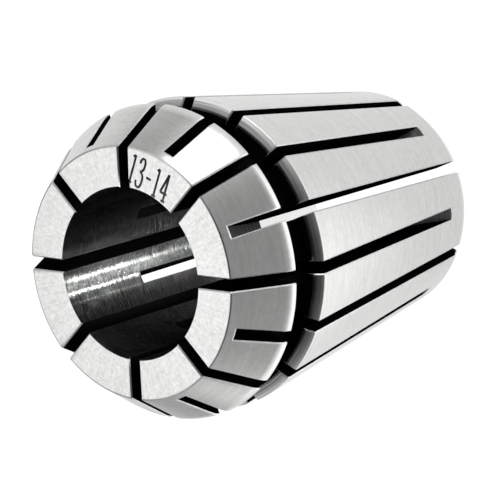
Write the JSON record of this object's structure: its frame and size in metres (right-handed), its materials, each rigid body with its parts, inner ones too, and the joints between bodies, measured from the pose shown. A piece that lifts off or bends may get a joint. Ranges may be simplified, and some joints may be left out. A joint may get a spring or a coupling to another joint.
{
  "type": "spring collet",
  "caption": "Slotted steel collet with a long shallow seat, a pull-out groove and a short steep head; it closes on a round tool shank in its bore.",
  "frame": {"origin": "centre of the rear face, on the collet's axis", "axes": "+Z along the axis, from the rear face to the front face that the nut surrounds; +X through the middle of a slot cut from the front"},
  "size_m": [0.026, 0.026, 0.034],
  "materials": {
    "ground_steel": "ground and turned, dark scale left in the slots and the groove"
  },
  "bodies": {
    "root": {"collet": "ground_steel"}
  },
  "joints": []
}
